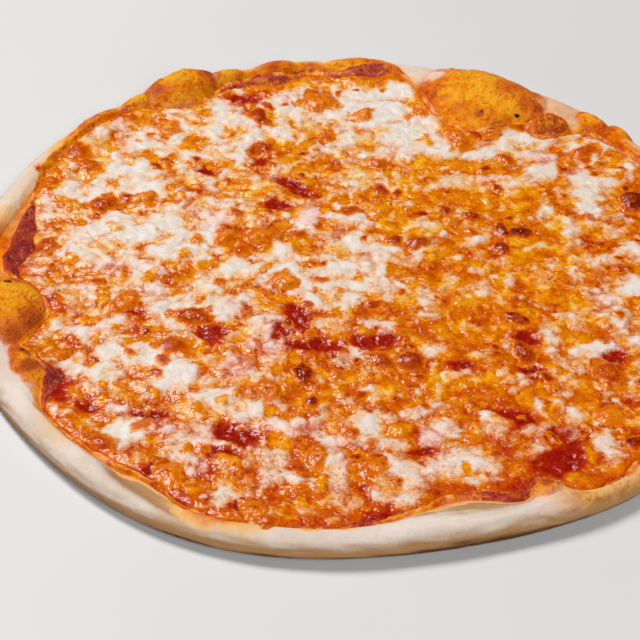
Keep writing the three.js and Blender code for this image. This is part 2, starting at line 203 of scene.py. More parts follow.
# thick white cheese
WHITE_PATCHES = [
    (5, 118, 9, 7), (15, 105, 12, 11, 20), (27, 90, 11, 12, -20), (2, 88, 6, 8), (37, 80, 9, 5),
    (22, 121, 10, 6), (-21, 106, 5, 8), (-77, 109, 9, 5, 20), (-108, 80, 5, 6), (-89, 81, 6, 5),
    (-97, 61, 7, 6), (-117, 52, 4, 8, 10), (-114, 34, 5, 11, 5), (-87, 50, 6, 4), (-96, 24, 8, 6),
    (-76, 24, 7, 6), (-113, 13, 5, 9), (-84, 15, 9, 4), (-53, 38, 5, 4), (-69, 5, 9, 5, 10), (-29, 4, 8, 4),
    (-46, -6, 5, 4), (1, 12, 5, 7), (9, 4, 6, 5), (-8, -9, 8, 7), (6, -13, 7, 5), (-70, -27, 9, 4, 5),
    (-36, -34, 5, 4), (-1, -27, 5, 6), (-88, -54, 5, 5), (-77, -58, 8, 7), (-63, -67, 9, 7, -10),
    (-48, -80, 8, 6), (-36, -86, 6, 4), (-101, -63, 5, 3), (54, 76, 7, 5), (75, 89, 7, 3.5), (87, 87, 5, 4),
    (82, 62, 5, 7), (100, 54, 6, 7), (99, 38, 5, 5), (111, 54, 4, 6), (51, 16, 4, 2), (90, 21, 4, 3),
    (74, -52, 3, 4), (95, -33, 4, 3), (92, -50, 6, 3), (107, -12, 5, 7), (-43, -127, 5, 4),
    (-17, -119, 9, 3, 5), (14, -115, 9, 5), (35, -111, 9, 4, 10), (-78, -97, 7, 4, -15),
    (-62, -106, 7, 4, -8), (-18, -93, 8, 5), (-43, -128, 5, 3.5), (-108, 0, 6, 7), (5, -89, 6, 4),
    (48, -82, 5, 4), (22, -86, 6, 3), (-60, 92, 6, 4), (-66, 70, 6, 5), (-30, 90, 5, 6),
]
# wide places where the cheese is mostly white
WHITE_ZONES = [
    (16, 103, 26, 28), (-100, 45, 22, 34), (-76, 12, 32, 22), (-66, -64, 32, 20, -15), (-10, 0, 26, 24),
    (98, 48, 11, 14), (78, 86, 15, 9), (-64, 88, 26, 22), (-36, -20, 26, 16), (-86, -24, 18, 14),
    (20, -108, 30, 9), (-42, -100, 20, 11), (-68, -102, 17, 10, -12), (104, -14, 9, 15), (92, -46, 12, 10),
    (-30, -84, 22, 12),
]
# thin cheese with the sauce showing pink through it
THIN_PATCHES = [
    (87, 37, 8, 4, -35), (-95, -6, 7, 5), (-86, -40, 9, 5), (-66, -95, 8, 5, -10), (-20, -94, 9, 5),
    (51, 4, 6, 4), (18, -42, 7, 3), (60, 58, 6, 4), (-55, 25, 8, 5), (-42, -62, 8, 5), (-100, 96, 8, 5, 30),
    (-50, 112, 8, 6), (-28, 120, 7, 5), (-14, 30, 6, 8), (-32, -50, 9, 5), (-4, -100, 8, 4),
    (70, -96, 7, 5, 40), (-76, -8, 8, 4), (96, -22, 5, 7), (100, 8, 6, 8), (-116, -28, 4, 8), (66, -12, 5, 4),
    (96, 63, 7, 7), (88, 75, 7, 4), (44, -64, 6, 3), (-52, -112, 6, 4), (108, 92, 6, 6), (-66, 46, 8, 4),
    (-18, 70, 5, 6), (26, -96, 7, 4),
]
# pools of orange oil
OIL_ZONES = [
    (26, 54, 22, 12), (50, 48, 22, 14), (18, 34, 12, 8), (34, 26, 18, 8), (80, 26, 14, 16), (76, 4, 16, 14),
    (52, -4, 18, 12), (42, -24, 18, 14), (40, -46, 16, 12), (24, -70, 16, 8), (54, -70, 18, 9),
    (80, -26, 15, 18), (82, -78, 12, 10), (-10, -74, 10, 6), (-18, 62, 6, 14, 20), (-28, 84, 8, 12),
    (-40, 48, 9, 8), (-84, 40, 9, 4), (-56, -8, 9, 6), (-108, 66, 4, 8, 20), (-62, -44, 12, 8),
    (-9, -126, 7, 5), (-66, -120, 8, 5, -20), (-96, -92, 8, 6), (-22, 44, 8, 6),
]
# patches where the sauce shows through the cheese
BARE_PATCHES = [
    (61, 92, 6, 2.6, -10), (70, -109, 12, 5.5, 42), (58, -119, 5, 2.2, 25), (-43, -96, 5, 3, 20),
    (-37, -98, 4, 3.5), (-60, 60, 4, 2.5), (-24, 52, 8, 2.5, -30), (-39, 74, 3, 8, 10), (-30, 37, 5, 3),
    (-52, -44, 6, 3), (-20, -33, 3.5, 7, 20), (-12, -50, 9, 2.5), (9, -47, 8, 3, 10), (66, -44, 3.5, 3.5),
    (65, -60, 3.5, 5), (97, -54, 4, 3), (58, -86, 6, 2.5, -20), (-68, -117, 4, 3), (-36, -131, 3, 2),
    (-45, -105, 6, 1.5, -5), (-26, -42, 3, 5), (-106, -74, 3, 6, 20), (24, -104, 5, 1.5, 10),
    (-48, 118, 7, 3), (8, -136, 6, 2, 30), (60, 9, 2, 2), (30, 33, 3, 1.5), (-92, -84, 3, 2),
    (-70, -88, 5, 1.5), (-20, 46, 5, 2, -20), (40, -59, 4, 1.5), (-84, -31, 4, 2),
]
# blisters in all, and how often and how far out small blisters, amber pools and white lumps are tried
BLISTER_COUNT = 200
BLISTER_TRIES = 12000
BLISTER_REACH = 142
POOL_TRIES = 210
POOL_REACH = 140
LUMP_TRIES = 1500
LUMP_REACH = 138


# ---- noise

def lattice_value(i, j, seed):
    """A number from 0 to 1 for each corner of a square lattice."""
    def times(value, factor):
        return (value.astype(np.uint64) * np.uint64(factor) & np.uint64(0xFFFFFFFF)).astype(np.uint32)

    i = np.asarray(i).astype(np.int64).astype(np.uint32)
    j = np.asarray(j).astype(np.int64).astype(np.uint32)
    start = np.uint32(seed * 974634777 & 0xFFFFFFFF)
    h = times(i, 374761393) ^ times(j, 668265263) ^ start
    h = times(h ^ (h >> np.uint32(13)), 1274126177)
    h = times(h ^ (h >> np.uint32(16)), 1103515245)
    return (h ^ (h >> np.uint32(15))) / 4294967296.0


def smooth(t):
    t = np.clip(t, 0, 1)
    return t * t * (3 - 2 * t)


def step(low, high, value):
    """0 below low, 1 above high, and smooth between."""
    return smooth((value - low) / (high - low))


def bell(offset, spread):
    """1 at no offset, falling away over the spread."""
    return np.exp(-(offset / spread) ** 2)


def fade(distance, length):
    """1 at an edge and beyond it, falling away with the distance inward."""
    return np.exp(-np.maximum(distance, 0) / length)


def lattice_cell(x, y, cell):
    """The square that each point lies in, and its place there from 0 to 1."""
    u, v = x / cell, y / cell
    i, j = np.floor(u), np.floor(v)
    return i, j, u - i, v - j


def blend(corner, s, t):
    """A value between those of a square's four corners."""
    low = corner(0, 0) * (1 - s) + corner(1, 0) * s
    high = corner(0, 1) * (1 - s) + corner(1, 1) * s
    return low * (1 - t) + high * t


def value_noise(x, y, cell, seed):
    """The solids' own noise, from -0.5 to 0.5."""
    i, j, u, v = lattice_cell(x, y, cell)
    return blend(lambda di, dj: lattice_value(i + di, j + dj, seed), smooth(u), smooth(v)) - 0.5


def noise(x, y, cell, seed):
    """Gradient noise, about -1 to 1, with bumps about one cell across."""
    i, j, u, v = lattice_cell(x, y, cell)

    def corner(di, dj):
        turn = TAU * lattice_value(i + di, j + dj, seed)
        return np.cos(turn) * (u - di) + np.sin(turn) * (v - dj)

    s, t = (share ** 3 * (share * (6 * share - 15) + 10) for share in (u, v))
    return blend(corner, s, t) * 1.5


def layered(x, y, cell, seed, octaves=4, gain=0.55):
    """Noise over several scales, each half as large as the last."""
    total, size, weight = 0.0, 1.0, 0.0
    for k in range(octaves):
        total = total + size * noise(x + 37.0 * k, y - 19.0 * k, cell / 2 ** k, seed + k)
        weight += size
        size *= gain
    return total / weight


def ridges(x, y, cell, seed, octaves=2):
    """Sharp crests between smooth hollows, from 0 to 1."""
    total, size, weight = 0.0, 1.0, 0.0
    for k in range(octaves):
        total = total + size * (1 - np.abs(noise(x, y, cell / 2 ** k, seed + 50 + k))) ** 3
        weight += size
        size *= 0.5
    return total / weight


def cells(x, y, cell, seed):
    """Distance to the nearest and second nearest of scattered points, in cells."""
    u, v = x / cell, y / cell
    i, j = np.floor(u), np.floor(v)
    first = np.full(np.shape(x), 9.0)
    second = np.full(np.shape(x), 9.0)
    for di in (-1, 0, 1):
        for dj in (-1, 0, 1):
            px = i + di + lattice_value(i + di, j + dj, seed)
            py = j + dj + lattice_value(i + di, j + dj, seed + 1)
            distance = np.hypot(u - px, v - py)
            second = np.where(distance < first, first, np.minimum(second, distance))
            first = np.minimum(first, distance)
    return first, second


# ---- outline and heights, as the solids have them

def turn_between(angle, at):
    return (angle - at + 180) % 360 - 180


def swell_at(angle, swells):
    return sum(size * bell(turn_between(angle, at), spread) for at, spread, size in swells)


def outer_radius(angle):
    waves = (size * np.cos(np.radians(lobes * (angle - crest))) for lobes, size, crest in OUTLINE_WAVES)
    return PIZZA_RADIUS + sum(waves)


def rim_width(angle):
    return RIM_WIDTH + swell_at(angle, RIM_SWELLS)


def sauce_radius(angle):
    """The sauce's edge, drawn back from the bubbles."""
    edge = outer_radius(angle) - rim_width(angle)
    radius = edge
    for at, size, _, _, bare in BUBBLES.values():
        reach = math.hypot(*at)
        depth = bare * np.maximum(edge - (reach - size[1]), 0)
        offset = turn_between(angle, math.degrees(math.atan2(at[1], at[0]))) / math.degrees(size[0] / reach)
        radius = np.minimum(radius, edge - depth * np.exp(-np.abs(offset) ** NOTCH_SHAPE))
    return radius


def cheese_radius(angle):
    return sauce_radius(angle) - SAUCE_MARGIN - swell_at(angle, SAUCE_BAYS)


def cheese_edge(angle):
    """The cheese's lobed edge."""
    x, y = polar(NOISE_RADIUS, angle)
    lobes = 2.2 * layered(x, y, 12, 401, 3) + 1.4 * np.maximum(noise(x, y, 9, 404), 0)
    return cheese_radius(angle) + lobes + swell_at(angle, CHEESE_REACH)


def ellipse_share(x, y, at, size, turn=0):
    """Distance from an ellipse's middle, as a share of the way to its outline."""
    c, s = math.cos(math.radians(turn)), math.sin(math.radians(turn))
    along = ((x - at[0]) * c + (y - at[1]) * s) / size[0]
    across = ((y - at[1]) * c - (x - at[0]) * s) / size[1]
    return np.hypot(along, across)


def wrinkles(x, y):
    """The wrinkles of the crinkled blister, from -0.5 to 0.5."""
    return ridges(x, y, 3.0, 715, 2) - 0.5


def bubble_height(x, y):
    """Rise of the puffed bubbles, with a lumpy outline and lumps on top."""
    ragged = 1 + 0.16 * layered(x, y, 13, 705, 3)
    lumps = 1.1 * layered(x, y, 7, 706, 3) + 0.5 * noise(x, y, 2.6, 709)
    height = np.zeros(np.shape(x))
    for at, size, turn, rise, _ in BUBBLES.values():
        inside = np.maximum(1 - (ellipse_share(x, y, at, size, turn) * ragged) ** 2, 0)
        domed = BUBBLE_FULLNESS * rise * inside ** 0.75
        height = np.maximum(height, domed + lumps * inside * min(1, rise / 6))
    inside = np.maximum(1 - ellipse_share(x, y, *BUBBLES["crinkled"][:3]) ** 2, 0)
    return height + 2.2 * wrinkles(x, y) * inside


def shoulder_width(angle):
    return np.minimum(SHOULDER_WIDTH, 0.75 * rim_width(angle))


def crest_at(angle):
    """Radius of the rim's crest."""
    return outer_radius(angle) - shoulder_width(angle)


def crest_height(angle):
    return RIM_HEIGHT + 1.6 * value_noise(*polar(crest_at(angle), angle), 24, 22)


def along_crease(crease, angle):
    """1 along a fold of the rim and 0 past its ends, and the fold's radius there."""
    start, end, from_radius, to_radius = crease[:4]
    inside = step(start - 2.5, start + 2.5, angle) * step(end + 2.5, end - 2.5, angle)
    return inside, from_radius + (to_radius - from_radius) * np.clip((angle - start) / (end - start), 0, 1)


def crease_height(radius, angle):
    """Rise and fall of the dough along the folds of the rim."""
    total = np.zeros(np.shape(angle))
    for crease in RIM_CREASES:
        inside, middle = along_crease(crease, angle)
        *_, half_width, rise = crease
        total = total + rise * inside * bell(radius - middle, half_width)
    return total


def bed_height(x, y, edge):
    climb = smooth((np.hypot(x, y) - (edge - BED_SLOPE_WIDTH)) / BED_SLOPE_WIDTH)
    middle = BASE_THICKNESS + 0.7 * value_noise(x, y, 30, 21) * (1 - climb)
    return middle * (1 - climb) + TOPPING_EDGE_HEIGHT * climb


def sauce_top(x, y, edge):
    return bed_height(x, y, edge) + LAYER_GAP + SAUCE_THICKNESS


def crust_top(radius, angle):
    """Top of the dough: its bed under the toppings, and from their edge out to the crest of the rim."""
    edge, crest = sauce_radius(angle), crest_at(angle)
    x, y = polar(radius, angle)
    climb = np.sin(np.clip((radius - edge) / (crest - edge), 0, 1) * math.pi / 2)
    slope = TOPPING_EDGE_HEIGHT * (1 - climb) + crest_height(angle) * climb + crease_height(radius, angle)
    return np.where(radius < edge, bed_height(x, y, edge), slope) + bubble_height(x, y)


# ---- meshes

def angles_of(count):
    return 360.0 * np.arange(count) / count


def polar(radius, angle):
    return radius * np.cos(np.radians(angle)), radius * np.sin(np.radians(angle))


def ring_at(radius, angle, level):
    """A ring of points, all at one level or each at its own."""
    x, y = polar(radius, angle)
    return np.stack([x, y, level + np.zeros_like(x)], 1)


def stitch(first, second, faces):
    """Triangles between two rings, given as (first number, count), walking round both."""
    i = j = 0
    (start_a, count_a), (start_b, count_b) = first, second
    while i < count_a or j < count_b:
        a, b = start_a + i % count_a, start_b + j % count_b
        if i == count_a or (j < count_b and (j + 1) * count_a <= (i + 1) * count_b):
            faces.append((a, b, start_b + (j + 1) % count_b))
            j += 1
        else:
            faces.append((a, b, start_a + (i + 1) % count_a))
            i += 1


def place(name, data):
    """A new object in the scene."""
    piece = bpy.data.objects.new(name, data)
    bpy.context.scene.collection.objects.link(piece)
    return piece


def place_mesh(name, points, faces):
    mesh = bpy.data.meshes.new(name)
    mesh.from_pydata(points, [], faces)
    return place(name, mesh)


def ring_body(name, rings, top_point, bottom_point):
    """One closed mesh of rings of points, from the middle of its top round to the middle of its underside."""
    points = np.vstack([np.array([top_point]), *rings, np.array([bottom_point])])
    spans, start = [], 1
    for ring in rings:
        spans.append((start, len(ring)))
        start += len(ring)
    first, count = spans[0]
    faces = [(0, first + k, first + (k + 1) % count) for k in range(count)]
    for a, b in zip(spans, spans[1:]):
        stitch(a, b, faces)
    last, count = spans[-1]
    faces += [(last + k, start, last + (k + 1) % count) for k in range(count)]
    piece = place_mesh(name, (points * MM).tolist(), faces)
    piece.data.shade_smooth()
    return piece, points


def paint(piece, name, *channels):
    """Stores up to three fields on the mesh's points, for its material to read."""
    colour = np.ones((len(piece.data.vertices), 4), np.float32)
    for k, channel in enumerate(channels):
        colour[:, k] = channel
    layer = piece.data.attributes.new(name, "FLOAT_COLOR", "POINT")
    layer.data.foreach_set("color", colour.ravel())


# ---- the cheese's relief and colours

def ragged_patches(x, y, patches, seed):
    """1 inside the patches, 0 outside, with an uneven edge."""
    wobble = 0.26 * noise(x, y, 6, seed) + 0.18 * noise(x, y, 2.6, seed + 1)
    total = np.zeros(np.shape(x))
    for px, py, length, width, *turn in patches:
        share = ellipse_share(x, y, (px, py), (length, width), *turn) + wobble
        total = np.maximum(total, step(1.35, 0.65, share))
    return total


def haze(x, y, zones):
    """Soft overlapping zones, up to 1."""
    total = np.zeros(np.shape(x))
    for px, py, length, width, *turn in zones:
        total = total + np.exp(-ellipse_share(x, y, (px, py), (length, width), *turn) ** 2)
    return 1 - np.exp(-1.3 * total)


def strands(x, y, seed):
    """Drawn-out strands in a few directions, each in its own places, from about -0.4 to 0.6."""
    total = np.zeros(np.shape(x))
    for k, turn in enumerate((8, 70, 135)):
        c, s = math.cos(math.radians(turn)), math.sin(math.radians(turn))
        along, across = (x * c + y * s) / 3.0, y * c - x * s
        mask = step(-0.15, 0.4, noise(x, y, 19, seed + 10 * k))
        total += mask * (ridges(along, across, 3.6, seed + 10 * k + 1) - 0.4)
    return total


def random_place(rng, reach):
    distance, turn = reach * math.sqrt(rng.random()), TAU * rng.random()
    return distance * math.cos(turn), distance * math.sin(turn)


def clear_of(others, x, y, radius, share=1.0):
    """Whether a circle keeps away from the others, which start with place and radius."""
    return all(math.hypot(x - other[0], y - other[1]) > share * (radius + other[2]) for other in others)


def scattered_blisters():
    """The listed blisters and smaller ones between them: place, radius, rise, darkness."""
    rng = np.random.default_rng(7)
    found = [(x, y, 0.9 * radius, 0.95 * rise, dark) for x, y, radius, rise, dark in BLISTERS]
    for _ in range(BLISTER_TRIES):
        if len(found) == BLISTER_COUNT:
            break
        x, y = random_place(rng, BLISTER_REACH)
        radius = 1.2 + 2.2 * rng.random() ** 1.6
        dark, luck = 0.42 + 0.46 * rng.random(), rng.random()
        if math.hypot(x, y) > cheese_radius(math.degrees(math.atan2(y, x))) - radius:
            continue
        if luck < 0.55 * ragged_patches(x, y, WHITE_PATCHES, 801):
            continue
        if clear_of(found, x, y, radius, 0.9):
            found.append((x, y, radius, 0.24 * radius + 0.1, dark))
    return found


def pale_lumps(blisters):
    """Small lumps of white cheese, most of them in the oil: place, radius, rise."""
    rng = np.random.default_rng(23)
    found = []
    for _ in range(LUMP_TRIES):
        x, y = random_place(rng, LUMP_REACH)
        radius, luck = 1.1 + 1.5 * rng.random() ** 1.5, rng.random()
        room = clear_of(blisters, x, y, 1.1 * radius) and clear_of(found, x, y, radius, 0.9)
        if room and luck < 0.16 + 0.4 * haze(x, y, OIL_ZONES):
            found.append((x, y, radius, 0.22 * radius))
    return found


def amber_pools(blisters):
    """Pools of amber oil with clear edges, domed or sunk, between the blisters: place, radius, rise."""
    rng = np.random.default_rng(31)
    found = []
    for _ in range(POOL_TRIES):
        x, y = random_place(rng, POOL_REACH)
        radius, domed = 1.5 + 3.6 * rng.random() ** 1.8, rng.random() > 0.45
        if clear_of(blisters, x, y, radius, 0.8) and clear_of(found, x, y, radius, 1.1):
            found.append((x, y, radius, 0.2 * radius if domed else -0.25))
    return found


def blob(x, y, at, size, turn, reach):
    """The numbers, x and y of the points near an ellipse, and their share of the way to its outline."""
    local = np.where(np.hypot(x - at[0], y - at[1]) < reach)[0]
    return local, x[local], y[local], ellipse_share(x[local], y[local], at, size, turn)


def stretched(radius, stretch):
    return radius * math.sqrt(stretch), radius / math.sqrt(stretch)


def add_lumps(field, x, y, lumps, rng):
    for px, py, radius, height in lumps:
        size, turn = (1.25 * radius, 0.8 * radius), 180 * rng.random()
        local, lx, ly, share = blob(x, y, (px, py), size, turn, 2.4 * radius)
        share = share * (1 + 0.3 * noise(lx, ly, 2.5, 521))
        field.rise[local] += height * np.maximum(0, 1 - share ** 2)
        field.cover[local] += 0.27 * step(1.4, 0.4, share) * field.closed[local]
        field.pink[local] += 0.35 * step(1.4, 0.4, share)


def add_pools(field, x, y, pools, rng):
    for px, py, radius, height in pools:
        size, turn = stretched(radius, 1 + 1.4 * rng.random()), 180 * rng.random()
        local, lx, ly, share = blob(x, y, (px, py), size, turn, 3.0 * radius)
        share = share * (1 + 0.55 * noise(lx, ly, 1.1 * radius + 1, 531)) + 0.24 * noise(lx, ly, 2.4, 532)
        inside = step(1.3, 0.5, share) * field.closed[local]
        field.cover[local] -= 0.32 * inside * np.clip(field.cover[local] / 0.5, 0, 1.2)
        field.hue[local] += inside * (0.69 - field.hue[local]) - 0.1 * bell(share - 0.9, 0.22)
        field.rise[local] += height * np.maximum(0, 1 - share ** 2) ** 0.8


def add_blisters(field, x, y, blisters, rng):
    """Domes with a browned top, a dark foot that is partly their dark outline and partly painted shade, and,
    round some, a ring of white cheese.
    """
    crinkle = ridges(x + 0.6 * noise(x, y, 2, 501), y, 2.6, 502, 2) - 0.45
    for px, py, radius, height, dark in blisters:
        size, turn = stretched(radius, 1 + 0.8 * rng.random()), 180 * rng.random()
        local, lx, ly, share = blob(x, y, (px, py), size, turn, 3.0 * radius)
        share = share * (1 + 0.38 * noise(lx, ly, 0.8 * radius + 1.2, 511)) + 0.16 * noise(lx, ly, 2.4, 512)
        dome = np.maximum(0, 1 - share ** 2)
        big = step(2.8, 4.4, radius)
        lifted = field.rise[local] * (1 - 0.6 * dome) + height * dome ** 0.8
        field.rise[local] = np.where(dome > 0, lifted, field.rise[local])
        field.rise[local] += 0.45 * crinkle[local] * dome * big
        crown = big * (0.7 if dark <= 0.6 else 0.2) * step(0.7, 0.2, share)
        # painted shade at the foot of each dome, partly its dark outline: the cheese is redder and less white
        # there
        foot = bell(share - 1.12, 0.16)
        spot = dark * (0.3 + 0.7 * step(1.15, 0.45, share)) * step(1.4, 0.95, share) - dark * crown
        spot += (0.35 * crinkle[local] * dome + 0.12 * bell(share - 0.95, 0.2)) * big
        field.toast[local] = np.maximum(field.toast[local], spot)
        field.cover[local] += (0.44 - field.cover[local]) * crown - 0.13 * bell(share, 1.5) - 0.07 * foot
        ringed = 0.17 * step(1.8, 3.0, radius) * ((37 * dark) % 1 > 0.35)
        field.cover[local] += ringed * bell(share - 1.45, 0.22)
        field.pink[local] += (0.8 - field.pink[local]) * crown
        field.hue[local] -= 0.15 * foot


def cheese_fields(x, y, from_edge):
    """Rise of the cheese over its mean, and what its colours go by: cover, hue, toast and pink."""
    wx = x + 2.6 * noise(x, y, 15, 411) + 1.3 * noise(x, y, 6, 412)
    wy = y + 2.6 * noise(x, y, 15, 413) + 1.3 * noise(x, y, 6, 414)
    white = ragged_patches(wx, wy, WHITE_PATCHES, 801)
    milky = haze(wx, wy, WHITE_ZONES)
    thin = ragged_patches(wx, wy, THIN_PATCHES, 811)
    bare = ragged_patches(x, y, BARE_PATCHES, 821)
    wider = [(px, py, length + 3, width + 2.5, *turn) for px, py, length, width, *turn in BARE_PATCHES]
    fringe = ragged_patches(x, y, wider, 831)
    oil = haze(wx, wy, OIL_ZONES)
    strand = strands(wx, wy, 461)
    near_edge = fade(from_edge, 2.6)

    islands = layered(wx, wy, 12, 425, 2)
    first, second = cells(wx, wy, 5.4, 471)
    curd, seam = 0.5 - first, step(0.24, 0.0, second - first)
    cover = 0.405 + 0.135 * milky + 0.17 * white - 0.17 * oil * (1 - 0.5 * white) + 0.0004 * y + 0.05 * thin
    calm = 1 - 0.5 * white
    cover += 0.4 * islands + 0.17 * calm * layered(wx, wy, 6, 431, 2) + 0.14 * layered(x, y, 24, 421, 2)
    cover += 0.1 * strand + (0.09 * curd - 0.05 * seam) * calm
    cover -= 0.12 * near_edge + 0.1 * fringe + 0.25 * bare
    cover *= 1 - 0.35 * near_edge
    pink = np.clip(0.1 + 0.8 * thin + 0.5 * fringe - 0.5 * oil + 0.9 * layered(x, y, 13, 451, 3), 0, 1)
    hue = 0.52 + 0.1 * oil + 0.05 * milky - 0.2 * pink - 0.12 * fringe + 0.4 * layered(wx, wy, 9, 441, 3)
    hue += 0.0006 * y
    hue = hue * (1 - bare) + 0.06 * bare - 0.03 * near_edge
    rise = 0.5 * layered(x, y, 22, 481, 3) + 1.6 * np.clip(cover - 0.45, -0.15, 0.25) + 0.35 * strand
    rise += 0.7 * layered(wx, wy, 6.5, 482, 3) + 0.55 * curd - 0.1 * seam - 0.7 * bare - 0.2 * oil

    toast = np.zeros_like(x)
    field = SimpleNamespace(rise=rise, cover=cover, hue=hue, toast=toast, pink=pink, closed=1 - bare)
    rng = np.random.default_rng(11)
    blisters = scattered_blisters()
    add_lumps(field, x, y, pale_lumps(blisters), rng)
    add_pools(field, x, y, amber_pools(blisters), rng)
    add_blisters(field, x, y, blisters, rng)
    cover -= 0.5 * np.maximum(cover - 0.52, 0) * oil * (1 - white)
    return rise, cover, hue, toast, pink


# ---- the three pieces

def cheese_floor(radius, angle, edge):
    """What the cheese lies on: the sauce, or the dough where that is higher."""
    x, y = polar(radius, angle)
    return np.maximum(sauce_top(x, y, edge) + LAYER_GAP, crust_top(radius, angle) + 0.1)


def make_cheese():
    counts = [6 * k for k in range(1, CHEESE_RINGS + 1)]
    angles = [angles_of(count) for count in counts]
    edges = [cheese_edge(angle) for angle in angles]
    radii = [edge * (k + 1) / CHEESE_RINGS for k, edge in enumerate(edges)]
    angle = np.concatenate([[0.0], *angles])
    radius = np.concatenate([[0.0], *radii])
    from_edge = np.concatenate([[cheese_radius(0.0)], *edges]) - radius
    x, y = polar(radius, angle)
    rise, cover, hue, toast, pink = cheese_fields(x, y, from_edge)
    amber = np.clip(swell_at(angle, AMBER_EDGES), 0, 1) * fade(from_edge, 4.5)
    cover = cover - 0.45 * amber * np.clip(cover / 0.5, 0, 1.2)
    hue = hue + amber * (0.52 - hue)
    body = (1 - fade(from_edge, 5.0)) * np.maximum(CHEESE_HEIGHT + rise, CHEESE_LEAST)
    top = ring_at(radius, angle, cheese_floor(radius, angle, sauce_radius(angle)) - 0.45 + body)

    under = []
    for share in CHEESE_UNDER_RINGS:
        level = cheese_floor(edges[-1] * share, angles[-1], sauce_radius(angles[-1]))
        sink = CHEESE_SINK + 0.6 * math.exp(-(1 - share) * 20)
        under.append(ring_at(edges[-1] * share, angles[-1], level - sink))
    starts = np.cumsum([1] + counts)
    top_rings = [top[a:b] for a, b in zip(starts, starts[1:])]
    middle = [0, 0, sauce_top(0.0, 0.0, sauce_radius(0.0)) + LAYER_GAP - CHEESE_SINK]
    piece, points = ring_body("cheese", top_rings + under, top[0], middle)

    def pad(field, value):
        """A field of the top, with one value for the underside."""
        return np.concatenate([field, np.full(len(points) - len(top), value)])

    paint(piece, "melt", pad(cover, 0.3), pad(hue, 0.4), pad(pink, 0.3))
    paint(piece, "toast", pad(toast, 0.3))
    return piece


def make_sauce():
    angle = angles_of(RIM_SECTORS)
    edge = sauce_radius(angle)
    lobes = 2.0 * layered(*polar(NOISE_RADIUS, angle), 11, 601, 3)
    outer = edge + 1.6 + lobes + swell_at(angle, SAUCE_TUCKS)
    inner = cheese_edge(angle) - SAUCE_OVERLAP
    rings = []
    for share in SAUCE_HIDDEN_RINGS:
        x, y = polar(inner * share, angle)
        level = np.maximum(sauce_top(x, y, edge) - SAUCE_SINK, crust_top(inner * share, angle) - 0.2)
        rings.append(ring_at(inner * share, angle, level))
    for share in np.linspace(0, 1, SAUCE_STEPS):
        radius = inner * (1 - share) + outer * share
        x, y = polar(radius, angle)
        dough = crust_top(radius, angle)
        grain = 0.6 * layered(x, y, 5.0, 611, 3) + 0.55 * noise(x, y, 2.8, 612)
        ending = min(1, (1 - share) * 6)
        bare = step(3.6, 5.6, radius - inner)
        level = sauce_top(x, y, edge) + (grain + SAUCE_SINK) * ending * bare - SAUCE_SINK
        level = np.maximum(level, dough + 0.3 * bare - 0.2)
        rings.append(ring_at(radius, angle, level * ending + (dough - 0.25) * (1 - ending)))
    for share in SAUCE_UNDER_RINGS:
        radius = np.minimum(edge, outer) * share
        rings.append(ring_at(radius, angle, crust_top(radius, angle) - 0.3))
    centre = sauce_radius(0.0)
    top = sauce_top(0.0, 0.0, centre) - SAUCE_SINK
    bottom = bed_height(0.0, 0.0, centre) + LAYER_GAP
    piece, points = ring_body("sauce", rings, [0, 0, top], [0, 0, bottom])

    x, y = points[:, 0], points[:, 1]
    at = np.degrees(np.arctan2(y, x)) % 360
    rimward = step(4.5, 0.5, sauce_radius(at) - np.hypot(x, y))
    red = np.clip(swell_at(at, RED_STRETCHES), 0, 1)
    tone = 0.5 + 0.9 * layered(x, y, 6, 621, 3)
    paint(piece, "wet", rimward * (1 - 0.7 * red), tone, swell_at(at, AMBER_STRETCHES))
    return piece


def pimples(x, y):
    return 0.34 * layered(x, y, 15, 701, 3) + 0.07 * noise(x, y, 2.4, 702)


def streaks(angle, across):
    """Fine stretch lines that run along the rim, in patches."""
    along = np.radians(angle) * PIZZA_RADIUS / 9
    patches = step(-0.2, 0.4, layered(*polar(NOISE_RADIUS, angle), 26, 751, 2))
    return patches * (0.16 * noise(along, across, 1.5, 752) + 0.12 * noise(along * 0.6, across, 2.6, 753))


def side_ring(angle, tilt):
    """A ring of the rim's round outer side, which faces up at a tilt of 90 and down at -90."""
    crest, height, width = crest_at(angle), crest_height(angle), shoulder_width(angle)
    middle = SHOULDER_CENTRE * height
    rise = math.sin(math.radians(tilt))
    half = height - middle if tilt > 0 else middle
    detail = max(0, min(1, 1.5 * (rise + 0.6)))
    lines = detail * streaks(angle, crest + 0.9 * width * math.radians(90 - tilt))
    radius = crest + (width + lines) * math.cos(math.radians(tilt))
    x, y = polar(radius, angle)
    puff = max(0, rise) * (bubble_height(x, y) + crease_height(radius, angle))
    return ring_at(radius, angle, middle + (half + lines) * rise + puff + detail * pimples(x, y))


def make_crust():
    angle = angles_of(RIM_SECTORS)
    edge, crest = sauce_radius(angle), crest_at(angle)
    rings = []
    for share in BED_RINGS:
        x, y = polar(edge * share, angle)
        rings.append(ring_at(edge * share, angle, bed_height(x, y, edge) + bubble_height(x, y)))
    for k in range(1, RIM_STEPS + 1):
        radius = edge + (crest - edge) * k / RIM_STEPS
        relief = pimples(*polar(radius, angle)) + streaks(angle, radius)
        rings.append(ring_at(radius, angle, crust_top(radius, angle) + min(1, 5 * k / RIM_STEPS) * relief))
    rings += [side_ring(angle, tilt) for tilt in RIM_TILTS]
    rings[-1][:, 2] = 0
    rings += [ring_at(crest * share, angle, 0) for share in UNDERSIDE_RINGS]
    centre = bed_height(0.0, 0.0, sauce_radius(0.0))
    piece, points = ring_body("dough", rings, [0, 0, centre], [0, 0, 0])
    paint_dough(piece, *points.T)
    return piece


